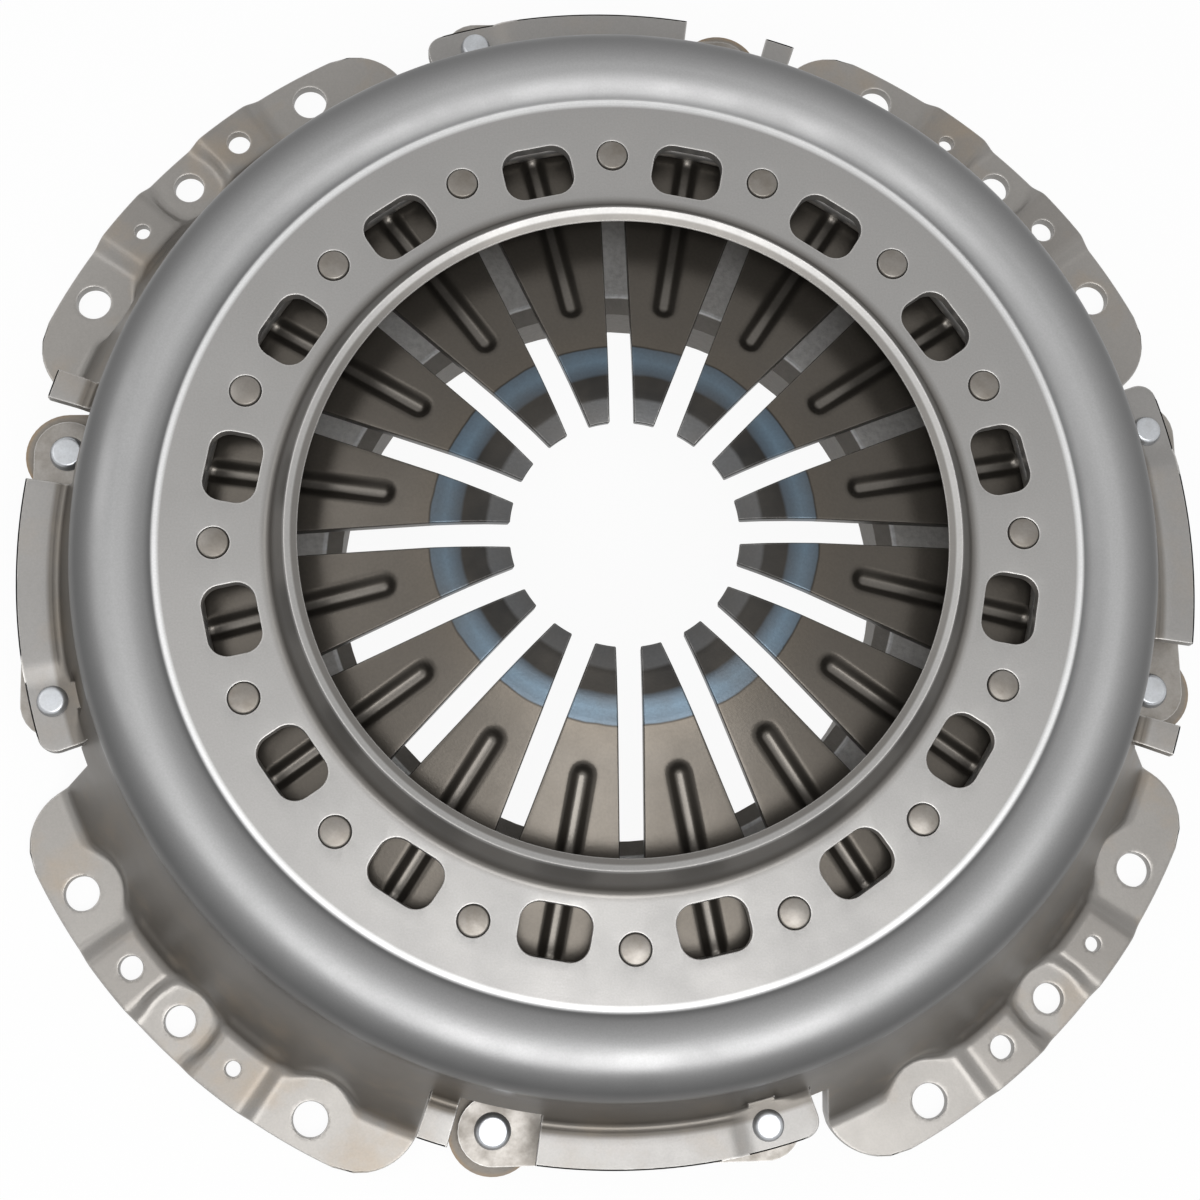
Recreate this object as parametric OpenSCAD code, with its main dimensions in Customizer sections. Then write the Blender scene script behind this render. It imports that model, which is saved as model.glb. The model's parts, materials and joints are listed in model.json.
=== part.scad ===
// Truck clutch pressure plate: pressed cover, diaphragm spring, cast plate and drive straps.
// Free state, as it stands before it is bolted on. The flywheel face is the plane z = 0,
// +Z points to the release bearing, and the strap pads lie on the X and Y axes.

/* [Cover sheet] */
// Thickness of the pressed sheet
cover_t = 5; // [4:0.5:5.5]
// Height of the flat ring's upper face above the flywheel face
ring_z = 80; // [78:1:84]
// Height of the turned-up lip above the flat ring
lip_h = 13.4; // [10:0.2:16]
// Radius of the lip's upper outer edge
lip_top_r = 112.8; // [111.5:0.2:114]
// Radius where the lip's outer face meets the flat ring
lip_foot_r = 118.8; // [117.5:0.2:120]
// Bend radius at the lip's foot
lip_fillet = 3; // [1:0.5:4]

/* [Shoulder bead] */
// Outer radius of the upright wall under the shoulder bead
wall_r = 186; // [185:0.5:187]
// Radius of the rounded shoulder bead
bead_round = 14.7; // [12:0.1:16]
// Height of the bead's crown above the flat ring
crown_h = 4.3; // [3:0.1:5.5]
// Slope of the ramp from the flat ring up to the bead
ramp_angle = 36; // [30:1:42]
// Bend radius at the foot of that ramp
ramp_fillet = 7; // [3:0.5:8]
// Height where the upright wall turns into the flared skirt
knee_z = 60; // [57:0.5:62]
// Radius of that turn
knee_fillet = 25; // [15:1:30]
// Flare of the skirt: run outwards for each unit of drop
skirt_flare = 0.44; // [0.42:0.005:0.46]

/* [Flange and bolt lugs] */
// Outer radius of the bolt lugs
flange_r = 231; // [230:0.5:234]
// Bend radius between skirt and flange
flange_fillet = 5; // [3:0.5:6]
// Radius of the bolt circle
bolt_circle_r = 220; // [219:0.5:221]
// Diameter of the outer bolt holes
bolt_hole_d = 12.5; // [11:0.5:13.5]
// Angle of the outer bolt holes from the middle of a lug
bolt_offset = 15; // [14.5:0.1:15.5]
// Diameter of the hole in the middle of a lug
mid_hole_d = 11; // [9:0.5:12]
// Half angle of a lug at its outer edge, where the end rounding starts
lug_half = 18.7; // [18:0.1:19.2]
// Radius of a lug's rounded end
lug_round = 22; // [20:0.5:23]
// Radius of the flat seat round an outer bolt hole
bolt_seat_r = 15.5; // [14:0.5:16]
// Radius of the flat seat round the middle hole
mid_seat_r = 12; // [11:0.5:12.5]
// Height of the raised bridges between the seats
bridge_h = 3.5; // [2:0.25:3.75]
// Angle from the middle of a lug to the start of a bridge
bridge_from = 3.2; // [3:0.1:3.6]
// Angle from the middle of a lug to the end of a bridge
bridge_to = 10.4; // [9.8:0.1:10.6]
// Angle of the small bridge holes
bridge_hole_at = 6.6; // [6.2:0.1:7]
// Diameter of the larger bridge hole
bridge_hole_a = 8.5; // [6:0.5:9.5]
// Diameter of the smaller bridge hole
bridge_hole_b = 5.5; // [4:0.5:7]

/* [Strap pads] */
// Height of the strap pad's upper face
pad_z = 41; // [40:0.5:42]
// Outer radius of the strap pad
pad_r = 209; // [208:0.5:211]
// Bend radius between skirt and strap pad
pad_fillet = 4; // [2:0.5:5]
// Half angle of the opening between two bolt lugs
gap_half = 20.3; // [20:0.1:20.6]
// Angle by which a strap pad stays short of the next bolt lug
slit = 0.3; // [0.2:0.05:0.5]
// Height of the notch's upper edge in the skirt
notch_top = 46; // [44:0.5:48]
// Angle where the strap pad ends beyond its rivet
pad_end = 18.3; // [17.6:0.1:19]
// Start of the cut-out over the plate ear, measured from the pad's middle
notch_from = 9; // [8.6:0.1:9.2]
// End of the cut-out over the plate ear
notch_to = 17.3; // [17.1:0.1:17.6]
// Radius of the flat seat round the strap rivet
rivet_seat_r = 10.5; // [9:0.5:11.5]

/* [Windows and fulcrum rivets] */
// Number of diaphragm fingers, cover windows and fulcrum rivets
fingers = 16; // [16]
// Radius of the windows' centre line
window_r = 133.2; // [132.8:0.1:133.6]
// Radial size of a window
window_len = 18; // [14:0.5:18.5]
// Width of a window
window_w = 24; // [18:0.5:26]
// Corner radius of a window
window_round = 6.5; // [4:0.5:7]
// Radius of the rivet circle
rivet_circle_r = 137; // [136.5:0.1:137.5]
// Diameter of a fulcrum rivet's shoulder
rivet_d = 9.2; // [8.4:0.1:9.4]
// Diameter of its upper end where it passes the cover
tenon_d = 7.8; // [6:0.2:8]
// Diameter of its upset head
rivet_head_d = 10.4; // [9.4:0.2:11]
// Height of its head
rivet_head_h = 1.8; // [1.2:0.1:2.4]
// Depth that the head is sunk into the cover
rivet_sink = 0.8; // [0.4:0.1:1]
// Diameter of its collar under the lower ring
collar_d = 20; // [18:0.5:21]
// Thickness of the collar
collar_t = 3.9; // [3:0.1:4.5]

/* [Diaphragm spring] */
// Thickness of the spring
spring_t = 4.2; // [3.6:0.1:4.6]
// Cone angle of the free spring
cone_angle = 13; // [12.6:0.1:13.4]
// Distance from the cover's upright wall in to the spring's outer edge
spring_inset = 9; // [8:0.5:10]
// Radius of the circle inside the fingertips
tip_r = 38.5; // [36:0.5:42]
// Radius where the fingers stop rising straight
tip_bend_r = 64.5; // [62:0.5:68]
// Radial length of each of the two bends of the tip
tip_step = 8.5; // [7:0.5:9]
// Width of the slots
slot_w = 8.2; // [7:0.2:9]
// Diameter of the eye at the end of a slot
eye_d = 13; // [12:0.5:14]
// Radius where the finger grooves begin
groove_from = 82; // [78:0.5:90]
// Radius where the finger grooves end
groove_to = 134; // [130:0.5:134.5]
// Width of a groove at its mouth
groove_w = 10.5; // [8:0.5:11]
// Width of a groove's flat bottom
groove_floor_w = 3.6; // [2.5:0.1:5]
// Depth of a groove
groove_h = 2.5; // [1.5:0.1:2.8]
// Wire thickness of the two fulcrum rings
wire_d = 5.8; // [5.2:0.1:6]

/* [Cast plate] */
// Height of the friction face above the flywheel face in the free state
face_z = 3.5; // [3:0.25:4]
// Inner radius of the cast plate
plate_in_r = 97.5; // [94:0.5:100]
// Outer radius of the friction face
plate_out_r = 199; // [196:0.5:199]
// Thickness of the plate's ring
plate_t = 25; // [22:0.5:27]
// Height of the outer edge before it tapers
plate_edge = 4.5; // [3:0.5:5]
// Distance from the cover's upright wall in to the ridge that carries the spring
ridge_inset = 12.5; // [12:0.25:13]
// Width of the ridge
ridge_w = 8; // [7:0.5:9]
// Width of the gaps in the ridge
ridge_gap = 16; // [10:1:20]
// Length of the ribs inside the ridge
gusset_len = 22; // [16:1:22]
// Height of the ribs inside the ridge
gusset_h = 18; // [12:1:18]
// Thickness of the ribs inside the ridge
gusset_t = 7; // [5:0.5:9]

/* [Drive straps] */
// Distance between the two rivets of a strap
strap_pitch = 93; // [92:0.5:94]
// Distance from the strap pad's outer edge in to a strap's middle line
strap_inset = 13.4; // [12.6:0.2:14]
// Width of a strap leaf
strap_w = 24; // [20:0.5:25]
// Thickness of a strap leaf
leaf_t = 1; // [0.8:0.05:1.05]
// Height of the plate's ears
ear_z = 19.7; // [19:0.1:20.4]
// Radius of the plate's ears
ear_r = 15.5; // [13.5:0.5:16]
// Thickness of the ears
ear_t = 12.2; // [10:0.2:12.4]
// Diameter of the strap rivets at the cover
pad_rivet_d = 9; // [8:0.5:9.5]
// Diameter of their visible heads
pad_rivet_head_d = 11; // [10:0.5:13]
// Diameter of the strap rivets at the plate
ear_rivet_d = 10; // [8:0.5:10.5]
// Diameter of their visible heads
ear_rivet_head_d = 13; // [12:0.5:15]
// Diameter of the lower heads of all strap rivets
lower_head_d = 15; // [12:0.5:15.5]

/* [Clearances] */
// Gap between the plate and what it moves against
run_gap = 0.3; // [0.2:0.05:0.5]
// Gap round rivets in their holes
hole_gap = 0.1; // [0.05:0.05:0.2]
// Gap at the fulcrum rings
ring_gap = 0.05; // [0.05:0.05:0.2]

/* [Hidden] */
$fn = 96;
strap_count = 4;
leaf_count = 3;
arc_step = 15;
cut = 1;
reach = 320;
window_step = 360 / fingers;
split_z = pad_z + 10;
spring_r = wall_r - spring_inset;
ridge_r = wall_r - ridge_inset;
strap_line = pad_r - strap_inset;
ear_root = plate_out_r - 25.4;
bury = 0.4;
under_bend = 4;
lip_z = ring_z + lip_h;
under_z = ring_z - cover_t;
bead_c = [wall_r - bead_round, ring_z + crown_h - bead_round];
ramp_hit = bead_c + bead_round * [-sin(ramp_angle), cos(ramp_angle)];
ramp_foot_r = ramp_hit[0] - (ramp_hit[1] - ring_z) / tan(ramp_angle);
bead_corner_z = ramp_hit[1] + (wall_r - ramp_hit[0]) * tan(ramp_angle);
seat_wall = 3;
fulcrum_r = rivet_circle_r + rivet_d / 2 + ring_gap + wire_d / 2;
upper_ring_z = under_z - ring_gap - wire_d / 2;
half_stack = (wire_d / 2 + ring_gap + spring_t / 2) / cos(cone_angle);
spring_z = upper_ring_z - half_stack;
lower_ring_z = spring_z - half_stack;
collar_z = lower_ring_z - wire_d / 2 - ring_gap;
tip_slope_1 = 5;
tip_slope_2 = 6;
crest_round = ridge_w / 2;
crest_z = spring_mid(ridge_r) - (spring_t / 2 + run_gap + crest_round) / cos(cone_angle);
ring_top = face_z + plate_t;
strap_low = ear_z + run_gap;
strap_high = pad_z - cover_t - leaf_count * leaf_t;
relief_line = strap_line - strap_w / 2 - 1;
end_flat = 14;
head_h = 2.8;

// Heights on the sheets
function skirt_r(z) = wall_r + skirt_flare * (knee_z - z);
function skirt_in_r(z) = skirt_r(z) - cover_t * sqrt(1 + skirt_flare * skirt_flare);
function spring_mid(r) = spring_z + (fulcrum_r - r) * tan(cone_angle);
function spring_top(r) = spring_mid(r) + spring_t / 2 / cos(cone_angle);

// Round the corners of a path of [r, z, fillet] points
function xy(p) = [p[0], p[1]];
function unit(v) = v / norm(v);
function turn(a, b, c) = cross(xy(b) - xy(a), xy(c) - xy(b));
function corner_arc(a, b, c) =
    let (u = unit(xy(a) - xy(b)), v = unit(xy(c) - xy(b)), half = acos(u * v) / 2,
        mid = xy(b) + unit(u + v) * b[2] / sin(half), sweep = 180 - 2 * half,
        way = turn(a, b, c) > 0 ? 1 : -1, first = xy(b) + u * b[2] / tan(half) - mid,
        start = atan2(first[1], first[0]), n = ceil(sweep / arc_step))
    [for (i = [0:n]) mid + b[2] * [cos(start + way * sweep * i / n), sin(start + way * sweep * i / n)]];
function rounded(path) = concat([xy(path[0])],
    [for (i = [1:len(path) - 2]) each corner_arc(path[i - 1], path[i], path[i + 1])],
    [xy(path[len(path) - 1])]);

// The same path moved to its right by t, with the fillets of a bent sheet
function right_of(a, b) = let (d = unit(xy(b) - xy(a))) [d[1], -d[0]];
function moved(path, t) =
    let (last = len(path) - 1)
    [for (i = [0:last])
        i == 0 ? xy(path[0]) + t * right_of(path[0], path[1])
        : i == last ? xy(path[last]) + t * right_of(path[last - 1], path[last])
        : let (m = right_of(path[i - 1], path[i]), n = right_of(path[i], path[i + 1]),
            p = xy(path[i]) + t * (m + n) / (1 + m * n),
            r = path[i][2] + (turn(path[i - 1], path[i], path[i + 1]) > 0 ? t : -t))
          [p[0], p[1], max(r, 0.2)]];
function reversed(list) = [for (i = [len(list) - 1:-1:0]) list[i]];
function sheet(path, t) = concat(rounded(path), reversed(rounded(moved(path, t))));

// Upper face of the cover, from the lip over the bead and down the skirt to the flange
cover_path = [[lip_top_r, lip_z], [lip_foot_r, ring_z, lip_fillet], [ramp_foot_r, ring_z, ramp_fillet],
    [wall_r, bead_corner_z, bead_round], [wall_r, knee_z, knee_fillet],
    [skirt_r(cover_t), cover_t, flange_fillet], [flange_r, cover_t]];

// Section of a strap pad. Its bend starts just under the skirt's outer face, so the two run together
pad_low = pad_z - cover_t;
pad_section = concat(
    rounded([[skirt_r(split_z) - bury, split_z], [skirt_r(pad_z) - bury, pad_z, pad_fillet], [pad_r, pad_z]]),
    [[pad_r, pad_low], [skirt_r(pad_low) - cover_t / 2, pad_low], [skirt_r(split_z) - cover_t / 2, split_z]]);

// Section of what the bend takes away under the pad
bend_out = [skirt_in_r(pad_low) + under_bend, pad_low];
bend_in = [skirt_in_r(pad_low + under_bend), pad_low + under_bend];
bend_end = bend_out + 1.4 * (bend_in - bend_out);
bend_section = [bend_end, [bend_end[0] - 4, bend_end[1]], [bend_end[0] - 4, pad_low - cut],
    bend_out - [0, cut], bend_out];

module at_polar(r, a) { rotate(a) translate([r, 0]) children(); }

module around(n, first = 0) {
    for (i = [0:n - 1]) rotate(first + i * 360 / n) children();
}

// Plan of a sector out to radius r
module sector(r, a, b) {
    intersection() {
        circle(r);
        polygon([[0, 0], reach * [cos(a), sin(a)], reach * [cos(b), sin(b)]]);
    }
}

module ring_block(r_in, r_out, z, h, a, b) {
    translate([0, 0, z]) linear_extrude(h) difference() {
        sector(r_out, a, b);
        circle(r_in);
    }
}

// Plan of one bolt lug, with its rounded ends
module lug_plan() {
    sector(flange_r - lug_round, -(45 - gap_half), 45 - gap_half);
    sector(flange_r, -lug_half, lug_half);
    for (s = [-1, 1]) at_polar(flange_r - lug_round, s * lug_half) circle(lug_round);
}

// The pressed shell, cut off below the strap pads between the lugs
module shell() {
    difference() {
        rotate_extrude() polygon(sheet(cover_path, cover_t));
        translate([0, 0, -cut]) linear_extrude(pad_low + cut) difference() {
            circle(reach);
            circle(lip_top_r);
            around(strap_count, 45) lug_plan();
        }
    }
}

// Everything inside the middle of the skirt's sheet, for walls that are pressed inwards
module inside_skirt() {
    top = split_z;
    rotate_extrude() polygon([[0, 0], [skirt_r(0) - cover_t / 2, 0], [skirt_r(top) - cover_t / 2, top],
        [0, top]]);
}

module bolt_lug() {
    intersection() {
        inside_skirt();
        for (s = [-1, 1]) at_polar(bolt_circle_r, s * bolt_offset)
            cylinder(r = bolt_seat_r + seat_wall, h = 22);
    }
    for (s = [-1, 1]) {
        ring_block(skirt_r(cover_t) - 3, flange_r, cover_t - cut, bridge_h + cut,
            min(s * bridge_from, s * bridge_to), max(s * bridge_from, s * bridge_to));
    }
}

module bolt_lug_cuts() {
    for (s = [-1, 1]) {
        at_polar(bolt_circle_r, s * bolt_offset) {
            translate([0, 0, cover_t]) cylinder(r = bolt_seat_r, h = 24);
            translate([0, 0, -cut]) cylinder(d = bolt_hole_d, h = cover_t + 2 * cut);
        }
        ring_block(skirt_r(0) + flange_fillet, flange_r + cut, -cut, bridge_h + cut,
            min(s * bridge_from, s * bridge_to), max(s * bridge_from, s * bridge_to));
        at_polar(bolt_circle_r, s * bridge_hole_at)
            cylinder(d = s < 0 ? bridge_hole_a : bridge_hole_b, h = 20);
    }
    at_polar(bolt_circle_r, 0) {
        translate([0, 0, cover_t]) intersection() {
            cylinder(r = mid_seat_r, h = 14);
            translate([-2 * mid_seat_r, -mid_seat_r, 0]) cube([4 * mid_seat_r, 2 * mid_seat_r, 14]);
        }
        translate([0, 0, -cut]) cylinder(d = mid_hole_d, h = cover_t + 2 * cut);
    }
}

module strap_pad() {
    intersection() {
        rotate_extrude() polygon(pad_section);
        linear_extrude(split_z + cut) sector(reach, slit - gap_half, pad_end);
    }
    intersection() {
        inside_skirt();
        translate([strap_line, strap_pitch / 2, pad_z - cover_t])
            cylinder(r = rivet_seat_r + seat_wall, h = 12);
    }
}

module strap_pad_cuts() {
    ring_block(lip_top_r, reach, 0, notch_top, -notch_to, -notch_from);
    intersection() {
        rotate_extrude() polygon(bend_section);
        linear_extrude(split_z) sector(reach, slit - gap_half, gap_half - slit);
    }
    translate([strap_line, strap_pitch / 2, 0]) {
        translate([0, 0, pad_z]) cylinder(r = rivet_seat_r, h = 22);
        translate([0, 0, pad_z - cover_t - cut]) cylinder(d = pad_rivet_d + 2 * hole_gap, h = cover_t + 2 * cut);
    }
}

// Rounded rectangle, long side along Y
module window_plan() {
    dx = window_len / 2 - window_round;
    dy = window_w / 2 - window_round;
    square([window_len, 2 * dy], center = true);
    square([2 * dx, window_w], center = true);
    for (x = [-dx, dx], y = [-dy, dy]) translate([x, y]) circle(window_round);
}

module cover() {
    color("darkgray") difference() {
        union() {
            shell();
            around(strap_count, 45) bolt_lug();
            around(strap_count) strap_pad();
        }
        around(strap_count, 45) bolt_lug_cuts();
        around(strap_count) strap_pad_cuts();
        around(fingers, window_step / 2) translate([window_r, 0, under_z - cut])
            linear_extrude(cover_t + 2 * cut) window_plan();
        around(fingers) translate([rivet_circle_r, 0, 0]) {
            translate([0, 0, under_z - cut]) cylinder(d = tenon_d + 2 * hole_gap, h = cover_t + 2 * cut);
            translate([0, 0, ring_z - rivet_sink]) cylinder(d = rivet_head_d + 4 * hole_gap, h = 2 * cut);
        }
    }
}

// Upper face of the spring, from the fingertips to the rim
spring_bend_z = spring_top(tip_bend_r);
spring_path = [
    [tip_r, spring_bend_z + tip_step * tan(tip_slope_1)
        - (tip_bend_r - 2 * tip_step - tip_r + 2) * tan(tip_slope_2)],
    [tip_bend_r - 2 * tip_step, spring_bend_z + tip_step * tan(tip_slope_1), 20],
    [tip_bend_r - tip_step, spring_bend_z + tip_step * tan(tip_slope_1), 20],
    [tip_bend_r, spring_bend_z, 20],
    [spring_r, spring_top(spring_r)]];

// One pressed groove, drawn downwards from a plane that lies deep below the cone's upper face.
// Its walls start a little above that plane, so that they cross the cone cleanly.
module groove(deep) {
    long = (groove_to - groove_from) / cos(cone_angle);
    translate([groove_from, 0, spring_top(groove_from)]) rotate([0, cone_angle, 0])
        translate([0, 0, -deep]) {
        rotate([90, 0, 90]) linear_extrude(long) polygon([[-groove_w / 2, bury],
            [-groove_floor_w / 2, -groove_h], [groove_floor_w / 2, -groove_h], [groove_w / 2, bury],
            [groove_w / 2, cut], [-groove_w / 2, cut]]);
        for (x = [0, long]) translate([x, 0, 0]) {
            translate([0, 0, -groove_h]) cylinder(d1 = groove_floor_w, d2 = groove_w, h = groove_h + bury);
            translate([0, 0, bury]) cylinder(d = groove_w, h = cut - bury);
        }
    }
}

module diaphragm_spring() {
    color("dimgray") difference() {
        union() {
            rotate_extrude() polygon(sheet(spring_path, spring_t));
            around(fingers, window_step / 2) groove(spring_t);
        }
        around(fingers, window_step / 2) groove(0);
        around(fingers) {
            translate([0, -slot_w / 2, spring_z - 20]) cube([rivet_circle_r, slot_w, 60]);
            translate([rivet_circle_r, 0, spring_z - 20]) cylinder(d = eye_d, h = 60);
        }
    }
}

module fulcrum_ring(z) {
    color("gray") translate([0, 0, z]) rotate_extrude() translate([fulcrum_r, 0]) circle(d = wire_d);
}

module upper_fulcrum_ring() { fulcrum_ring(upper_ring_z); }

module lower_fulcrum_ring() { fulcrum_ring(lower_ring_z); }

module fulcrum_rivets() {
    color("tan") around(fingers) translate([rivet_circle_r, 0, 0]) {
        translate([0, 0, collar_z - collar_t]) cylinder(d = collar_d, h = collar_t);
        translate([0, 0, collar_z]) cylinder(d = rivet_d, h = under_z - collar_z);
        translate([0, 0, under_z]) cylinder(d = tenon_d, h = cover_t - rivet_sink);
        translate([0, 0, ring_z - rivet_sink])
            cylinder(d1 = rivet_head_d, d2 = rivet_head_d - 2, h = rivet_head_h);
    }
}

// Section of the cast plate: friction ring, tapered edge and the ridge with its round crest
module plate_section() {
    ridge_in = ridge_r - ridge_w / 2;
    ridge_out = ridge_r + ridge_w / 2;
    polygon([[plate_in_r + 1, face_z], [plate_out_r, face_z], [plate_out_r, face_z + plate_edge],
        [ridge_out + 6, ring_top - 2], [ridge_out, ring_top + 4], [ridge_out, crest_z], [ridge_in, crest_z],
        [ridge_in, ring_top + 3], [ridge_in - 4, ring_top], [plate_in_r + 6, ring_top],
        [plate_in_r, ring_top - 3], [plate_in_r, face_z + 1]]);
    translate([ridge_r, crest_z]) circle(crest_round);
}

module plate_ear() {
    translate([strap_line, -strap_pitch / 2, ear_z - ear_t]) {
        cylinder(r = ear_r, h = ear_t);
        translate([ear_root - strap_line, -ear_r, 0]) cube([strap_line - ear_root, 2 * ear_r, ear_t]);
    }
}

module plate_ear_cuts() {
    translate([relief_line, -strap_pitch / 2 - 18, ear_z]) cube([60, strap_pitch + 36, 40]);
    translate([strap_line, -strap_pitch / 2, 0]) {
        translate([0, 0, -cut]) cylinder(d = lower_head_d + 2, h = ear_z - ear_t + cut);
        cylinder(d = ear_rivet_d + 2 * hole_gap, h = 2 * ear_z);
    }
}

module gusset() {
    ridge_in = ridge_r - ridge_w / 2;
    rotate([90, 0, 0]) linear_extrude(gusset_t, center = true)
        polygon([[ridge_in - gusset_len, ring_top - cut], [ridge_in + 1, ring_top - cut],
            [ridge_in + 1, ring_top + gusset_h], [ridge_in - 3, ring_top + gusset_h]]);
}

module pressure_plate() {
    color("rosybrown") difference() {
        union() {
            rotate_extrude() plate_section();
            around(strap_count) plate_ear();
            around(fingers, window_step / 2) gusset();
        }
        around(strap_count) plate_ear_cuts();
        around(fingers) translate([ridge_r - ridge_w, -ridge_gap / 2, ring_top + 6])
            cube([2 * ridge_w, ridge_gap, 60]);
    }
}

// Side view of one leaf: flat ends joined by a slope, drawn along the strap
module leaf_side(low, high) {
    half = strap_pitch / 2;
    top = [[half + end_flat, high], [half - end_flat, high], [end_flat - half, low],
        [-half - end_flat, low]];
    polygon(concat([for (p = top) p + [0, leaf_t]], reversed(top)));
}

module leaf_plan() {
    square([strap_w, strap_pitch], center = true);
    for (s = [-1, 1]) translate([0, s * strap_pitch / 2]) circle(d = strap_w);
}

// Strap n stands on axis n, its leaves counted from below
module strap_leaf(strap, leaf) {
    low = strap_low + (leaf - 1) * leaf_t;
    high = strap_high + (leaf - 1) * leaf_t;
    color("slategray") rotate((strap - 1) * 90) translate([strap_line, 0, 0]) difference() {
        intersection() {
            rotate([90, 0, 90]) linear_extrude(strap_w + 2, center = true) leaf_side(low, high);
            linear_extrude(pad_z) leaf_plan();
        }
        translate([0, strap_pitch / 2, high - cut]) cylinder(d = pad_rivet_d + 2 * hole_gap, h = 4 * cut);
        translate([0, -strap_pitch / 2, low - cut]) cylinder(d = ear_rivet_d + 2 * run_gap, h = 4 * cut);
    }
}

module strap_cover_rivets() {
    color("silver") around(strap_count) translate([strap_line, strap_pitch / 2, 0]) {
        translate([0, 0, strap_high - head_h]) cylinder(d = lower_head_d, h = head_h);
        translate([0, 0, strap_high]) cylinder(d = pad_rivet_d, h = pad_z - strap_high);
        translate([0, 0, pad_z]) cylinder(d1 = pad_rivet_head_d, d2 = pad_rivet_head_d - 3, h = head_h);
    }
}

module strap_plate_rivets() {
    top = strap_low + leaf_count * leaf_t + run_gap;
    color("silver") around(strap_count) translate([strap_line, -strap_pitch / 2, 0]) {
        translate([0, 0, ear_z - ear_t - head_h]) cylinder(d = lower_head_d, h = head_h);
        translate([0, 0, ear_z - ear_t]) cylinder(d = ear_rivet_d, h = top - ear_z + ear_t);
        translate([0, 0, top]) cylinder(d1 = ear_rivet_head_d, d2 = ear_rivet_head_d - 4, h = head_h);
    }
}

cover();
diaphragm_spring();
pressure_plate();
upper_fulcrum_ring();
lower_fulcrum_ring();
fulcrum_rivets();
strap_cover_rivets();
strap_plate_rivets();
strap_leaf(1, 1);  // strap_1_leaf_1
strap_leaf(1, 2);  // strap_1_leaf_2
strap_leaf(1, 3);  // strap_1_leaf_3
strap_leaf(2, 1);  // strap_2_leaf_1
strap_leaf(2, 2);  // strap_2_leaf_2
strap_leaf(2, 3);  // strap_2_leaf_3
strap_leaf(3, 1);  // strap_3_leaf_1
strap_leaf(3, 2);  // strap_3_leaf_2
strap_leaf(3, 3);  // strap_3_leaf_3
strap_leaf(4, 1);  // strap_4_leaf_1
strap_leaf(4, 2);  // strap_4_leaf_2
strap_leaf(4, 3);  // strap_4_leaf_3
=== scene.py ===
# %% [markdown]
# # A truck clutch pressure plate, dressed for its portrait
# The CAD model already has every piece in its true place and size. This lesson gives the visible pieces the
# softness of pressed steel, the fine edges and the finishes that the real ones have. Sizes of pieces are
# written in millimetres and become metres when a point is made. Heights and distances inside a finish are
# in metres, because that is how a shader reads them.

# %% Load the frame
import json
import math

import bmesh
import bpy
from mathutils import Matrix, Vector


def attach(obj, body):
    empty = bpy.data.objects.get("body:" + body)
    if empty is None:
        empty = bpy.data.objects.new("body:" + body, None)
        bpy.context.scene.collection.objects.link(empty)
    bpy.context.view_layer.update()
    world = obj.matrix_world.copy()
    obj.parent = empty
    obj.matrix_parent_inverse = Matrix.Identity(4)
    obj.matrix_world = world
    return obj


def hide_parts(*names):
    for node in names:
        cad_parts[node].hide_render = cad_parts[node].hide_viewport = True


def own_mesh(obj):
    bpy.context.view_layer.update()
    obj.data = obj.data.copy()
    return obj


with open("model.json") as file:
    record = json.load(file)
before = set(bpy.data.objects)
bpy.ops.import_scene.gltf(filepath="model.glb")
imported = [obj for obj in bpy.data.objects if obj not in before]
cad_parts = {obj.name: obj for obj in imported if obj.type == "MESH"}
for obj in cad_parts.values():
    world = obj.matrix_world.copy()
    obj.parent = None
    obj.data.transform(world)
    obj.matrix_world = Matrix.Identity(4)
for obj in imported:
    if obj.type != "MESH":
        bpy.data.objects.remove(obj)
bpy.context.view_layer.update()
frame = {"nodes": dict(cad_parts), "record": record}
MM = 0.001
COVER_BODY, PLATE_BODY = "cover_body", "plate_body"

# %% [markdown]
# ## Finishes
# Every surface here is steel or iron, but the skins differ: the cover is rolled steel with a thin film of
# oil, the spring is hardened and shot-peened, the plate is cast. A finish made of plain colours would look
# like plastic, and painted textures would stretch over the bends. So each finish is built from noise that
# is fixed in the object's own space, in layers: a slow one for stains, a fine one for grain, and a bump
# that follows the grain.

# %% Tools to wire a finish
FINISHES = {}


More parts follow.
